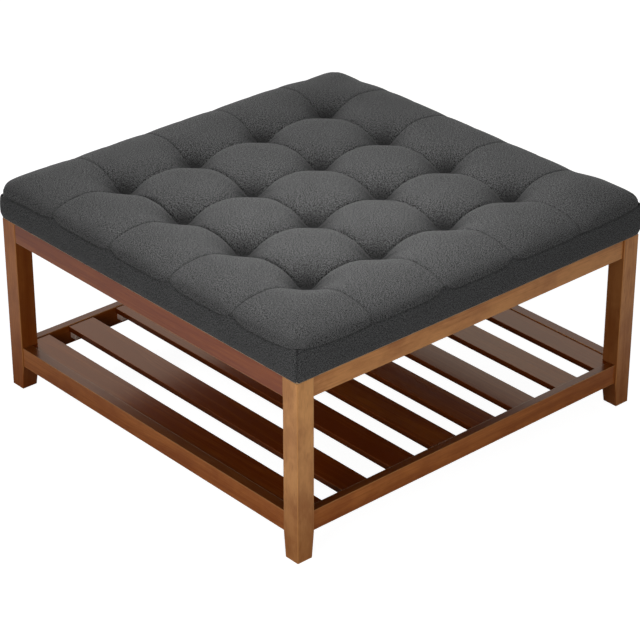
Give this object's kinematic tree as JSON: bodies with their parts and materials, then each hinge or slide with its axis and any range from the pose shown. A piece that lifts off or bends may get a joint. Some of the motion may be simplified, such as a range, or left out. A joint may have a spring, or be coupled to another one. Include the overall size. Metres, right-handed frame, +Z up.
{
  "type": "ottoman coffee table",
  "caption": "Square ottoman coffee table with a deep-tufted cushion top, a square-legged wooden frame and an open slatted shelf below.",
  "frame": {"origin": "on the floor at the centre of the footprint", "axes": "+Z up, +X to the right along the shelf slats, front at -Y"},
  "size_m": [0.912, 0.912, 0.4781],
  "materials": {
    "stained_wood": "warm mid-brown stain under satin lacquer",
    "pale_wood": "bare light hardwood",
    "plywood": "raw plywood",
    "charcoal_linen": "matt heathered linen-look weave",
    "dust_cloth": "thin non-woven cloth",
    "foam": "upholstery foam",
    "twine": "waxed twine",
    "plastic": "moulded",
    "zinc_steel": "zinc plated"
  },
  "bodies": {
    "root": {"apron_back": "stained_wood", "apron_dowels": "pale_wood", "apron_front": "stained_wood", "apron_left": "stained_wood", "apron_right": "stained_wood", "base_board": "plywood", "corner_block_back_left": "pale_wood", "corner_block_back_right": "pale_wood", "corner_block_front_left": "pale_wood", "corner_block_front_right": "pale_wood", "corner_bolts": "zinc_steel", "corner_nuts": "zinc_steel", "corner_washers": "zinc_steel", "dust_cover": "dust_cloth", "foam_slab": "foam", "leg_back_left": "stained_wood", "leg_back_right": "stained_wood", "leg_front_left": "stained_wood", "leg_front_right": "stained_wood", "lower_rail_back": "stained_wood", "lower_rail_dowels": "pale_wood", "lower_rail_front": "stained_wood", "lower_rail_left": "stained_wood", "lower_rail_right": "stained_wood", "shelf_slat_1": "stained_wood", "shelf_slat_2": "stained_wood", "shelf_slat_3": "stained_wood", "shelf_slat_4": "stained_wood", "shelf_slat_5": "stained_wood", "shelf_slat_6": "stained_wood", "shelf_slat_7": "stained_wood", "shelf_slat_8": "stained_wood", "side_band_back": "charcoal_linen", "side_band_front": "charcoal_linen", "side_band_left": "charcoal_linen", "side_band_right": "charcoal_linen", "slat_screws": "zinc_steel", "slat_support_blocks_left": "pale_wood", "slat_support_blocks_right": "pale_wood", "top_screws": "zinc_steel", "tuft_anchors": "plastic", "tuft_buttons": "plastic", "tuft_ties": "twine", "tufted_cover": "charcoal_linen"}
  },
  "joints": []
}
